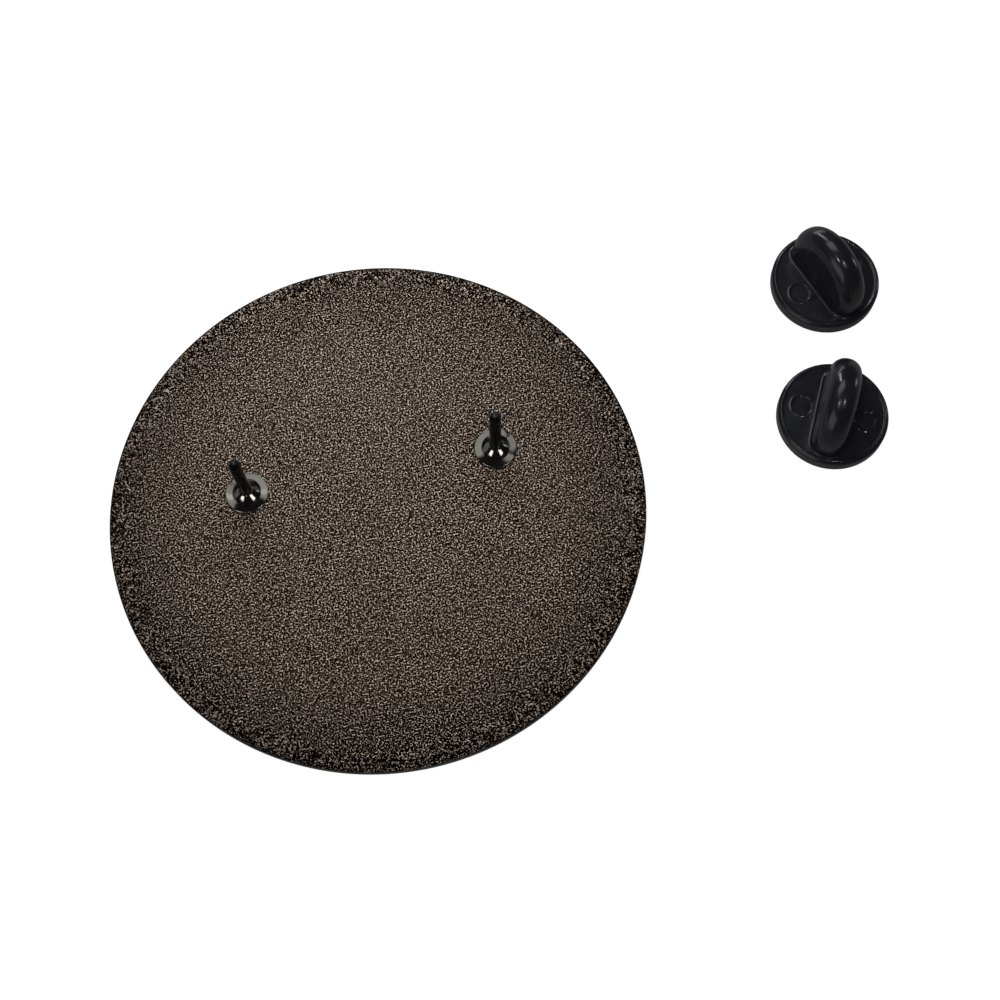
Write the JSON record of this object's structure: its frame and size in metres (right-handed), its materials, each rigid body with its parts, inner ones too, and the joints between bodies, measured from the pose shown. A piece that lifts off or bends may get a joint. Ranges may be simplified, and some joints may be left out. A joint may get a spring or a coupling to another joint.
{
  "type": "enamel pin",
  "caption": "Round enamel pin lying face down, with nail posts soldered to its textured back and loose rubber clutches beside it that slide over the posts.",
  "frame": {"origin": "centre of the pin's front, in the plane of its raised metal lines, on which it lies", "axes": "+Z out of the pin's back along the posts, +X along the row of posts towards the clutches, +Y towards the pin's top edge"},
  "size_m": [0.0785, 0.0508, 0.0092],
  "materials": {
    "black_nickel_plate": "black nickel plating over a fine gritty struck texture",
    "polished_black_nickel": "mirror-polished black nickel",
    "solder": "dull plated solder",
    "navy_enamel": "glossy soft enamel",
    "amber_enamel": "glossy soft enamel",
    "teal_enamel": "glossy soft enamel",
    "coral_enamel": "glossy soft enamel",
    "cream_enamel": "glossy soft enamel",
    "black_rubber": "satin moulded soft PVC"
  },
  "bodies": {
    "pin": {"base_plate": "black_nickel_plate", "border_enamel": "navy_enamel", "centre_enamel": "amber_enamel", "petal_1": "teal_enamel", "petal_2": "coral_enamel", "petal_3": "teal_enamel", "petal_4": "coral_enamel", "petal_5": "teal_enamel", "petal_6": "coral_enamel", "petal_7": "teal_enamel", "petal_8": "coral_enamel", "field_1": "cream_enamel", "field_2": "cream_enamel", "field_3": "cream_enamel", "field_4": "cream_enamel", "field_5": "cream_enamel", "field_6": "cream_enamel", "field_7": "cream_enamel", "field_8": "cream_enamel", "solder_left": "solder", "solder_right": "solder", "cap_left": "polished_black_nickel", "cap_right": "polished_black_nickel", "post_left": "polished_black_nickel", "post_right": "polished_black_nickel"},
    "clutch_upper": {"clutch_upper": "black_rubber"},
    "clutch_lower": {"clutch_lower": "black_rubber"}
  },
  "joints": [
    {"name": "clutch_upper_carry", "type": "slide", "parent": "pin", "child": "clutch_upper", "axis": [-0.9412, -0.1841, 0.2833], "range_m": [0, 0.06354]},
    {"name": "clutch_lower_carry", "type": "slide", "parent": "pin", "child": "clutch_lower", "axis": [-0.8279, 0.0658, 0.557], "range_m": [0, 0.0395]}
  ]
}
